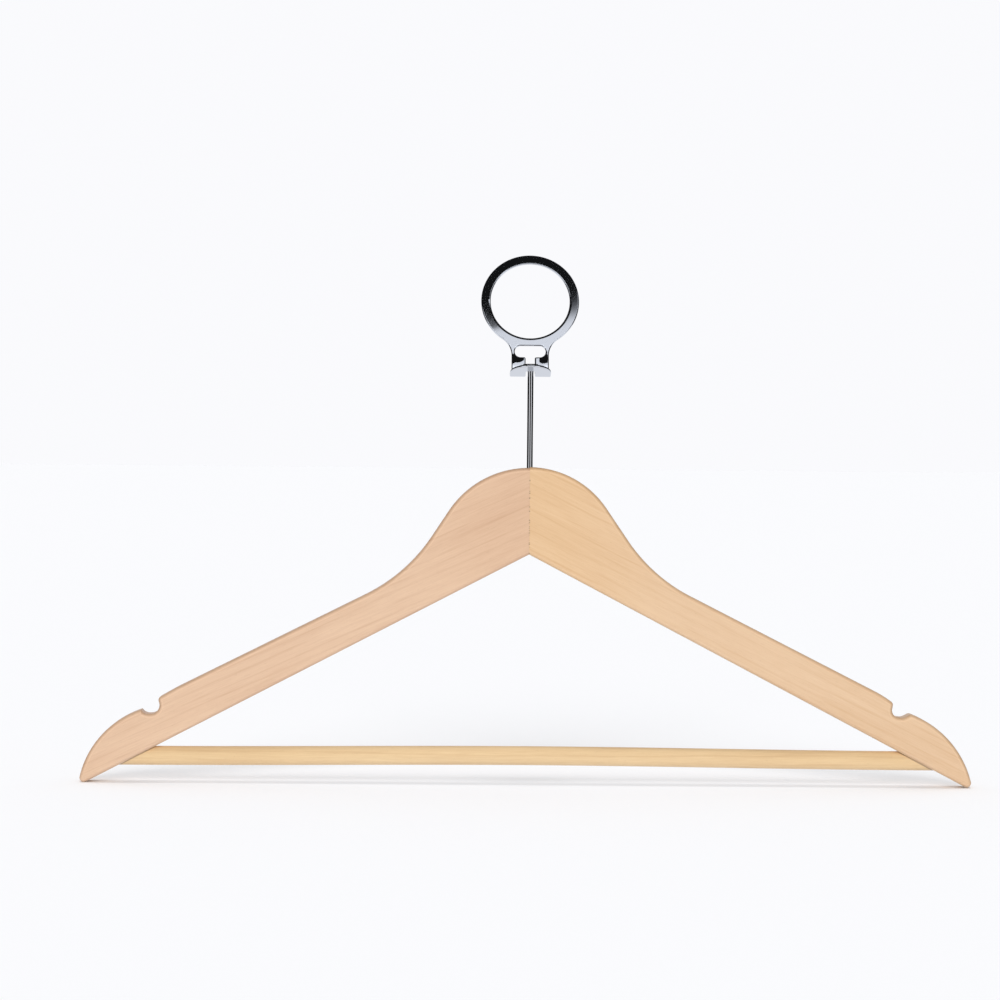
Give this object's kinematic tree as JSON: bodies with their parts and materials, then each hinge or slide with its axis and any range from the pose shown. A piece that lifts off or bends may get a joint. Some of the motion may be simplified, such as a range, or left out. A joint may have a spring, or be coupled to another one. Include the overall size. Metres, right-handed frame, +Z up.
{
  "type": "clothes hanger",
  "caption": "Flat wooden clothes hanger with strap notches, a round trouser bar and a steel nail that hangs and swivels in the slotted ledge of a closed rail ring.",
  "frame": {"origin": "the point inside the top of the ring's bore where the rail bears", "axes": "+X to the hanger's right from tip to tip, +Y to the back along the rail, +Z up along the nail"},
  "size_m": [0.445, 0.0364, 0.2659],
  "materials": {
    "ring_chrome": "bright chrome plate on pressed sheet steel",
    "nail_steel": "bright plated steel",
    "zinc_steel": "dull zinc plate",
    "left_wood": "clear satin lacquer, pinkish tan, fine grain along the arm",
    "right_wood": "clear satin lacquer, yellower tan, fine grain along the arm",
    "bar_wood": "clear satin lacquer, yellow tan, grain along the rod"
  },
  "bodies": {
    "ring": {"security_ring": "ring_chrome"},
    "nail": {"nail_pin": "nail_steel", "retaining_nut": "zinc_steel"},
    "hanger": {"left_arm": "left_wood", "right_arm": "right_wood", "trouser_bar": "bar_wood", "left_bar_brad": "zinc_steel", "right_bar_brad": "zinc_steel", "upper_mitre_dowel": "bar_wood", "lower_mitre_dowel": "bar_wood", "thrust_washer": "zinc_steel"}
  },
  "joints": [
    {"name": "nail_lift", "type": "slide", "parent": "ring", "child": "nail", "axis": [0, 0, 1], "range_m": [0, 0.018]},
    {"name": "stem_swivel", "type": "hinge", "parent": "nail", "child": "hanger", "pos_m": [0, -0.02529, -0.10251], "axis": [0, 0, 1], "continuous": true}
  ]
}
